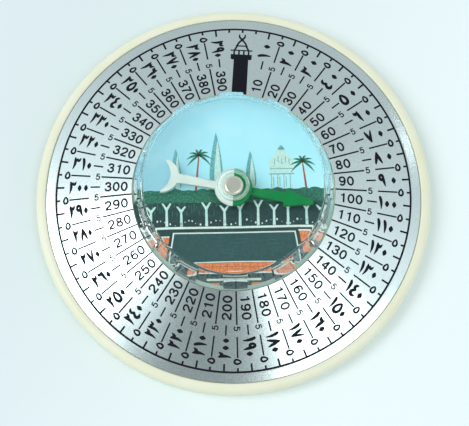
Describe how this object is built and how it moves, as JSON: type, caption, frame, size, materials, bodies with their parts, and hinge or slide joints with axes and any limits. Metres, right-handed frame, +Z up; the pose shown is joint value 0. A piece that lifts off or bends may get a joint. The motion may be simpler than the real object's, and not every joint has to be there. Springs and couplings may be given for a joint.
{
  "type": "qibla compass",
  "caption": "Round pocket qibla compass: shallow case, conical silvered dial, clear capsule and a swinging needle with a crescent and an arrow.",
  "frame": {"origin": "centre of the case's underside, on the surface it rests on", "axes": "+Z up along the needle's axis, +Y through the dial's zero mark"},
  "size_m": [0.0606, 0.0606, 0.0118],
  "materials": {
    "cream_plastic": "smooth moulded cream plastic",
    "silvered_dial": "satin silvered sheet with black print",
    "clear_plastic": "clear moulded plastic",
    "white_plastic": "moulded white plastic",
    "printed_card": "colour print on card",
    "brass": "turned brass",
    "steel": "ground steel",
    "green_plastic": "moulded green plastic",
    "magnet": "pressed ferrite",
    "nickel": "nickel-plated brass",
    "jewel_glass": "polished glass"
  },
  "bodies": {
    "case": {"case_base": "cream_plastic", "dial_sheet": "silvered_dial", "capsule_base": "white_plastic", "capsule_lid": "clear_plastic", "picture_card": "printed_card", "pivot_bush": "brass", "pivot_pin": "steel"},
    "needle": {"needle_arrow": "green_plastic", "needle_crescent": "white_plastic", "ring_magnet": "magnet", "hub_washer": "brass", "bearing_cup": "nickel", "bearing_jewel": "jewel_glass"}
  },
  "joints": [
    {"name": "needle_swing", "type": "hinge", "parent": "case", "child": "needle", "pos_m": [0, 0, 0.009], "axis": [0, 0, 1], "continuous": true}
  ]
}
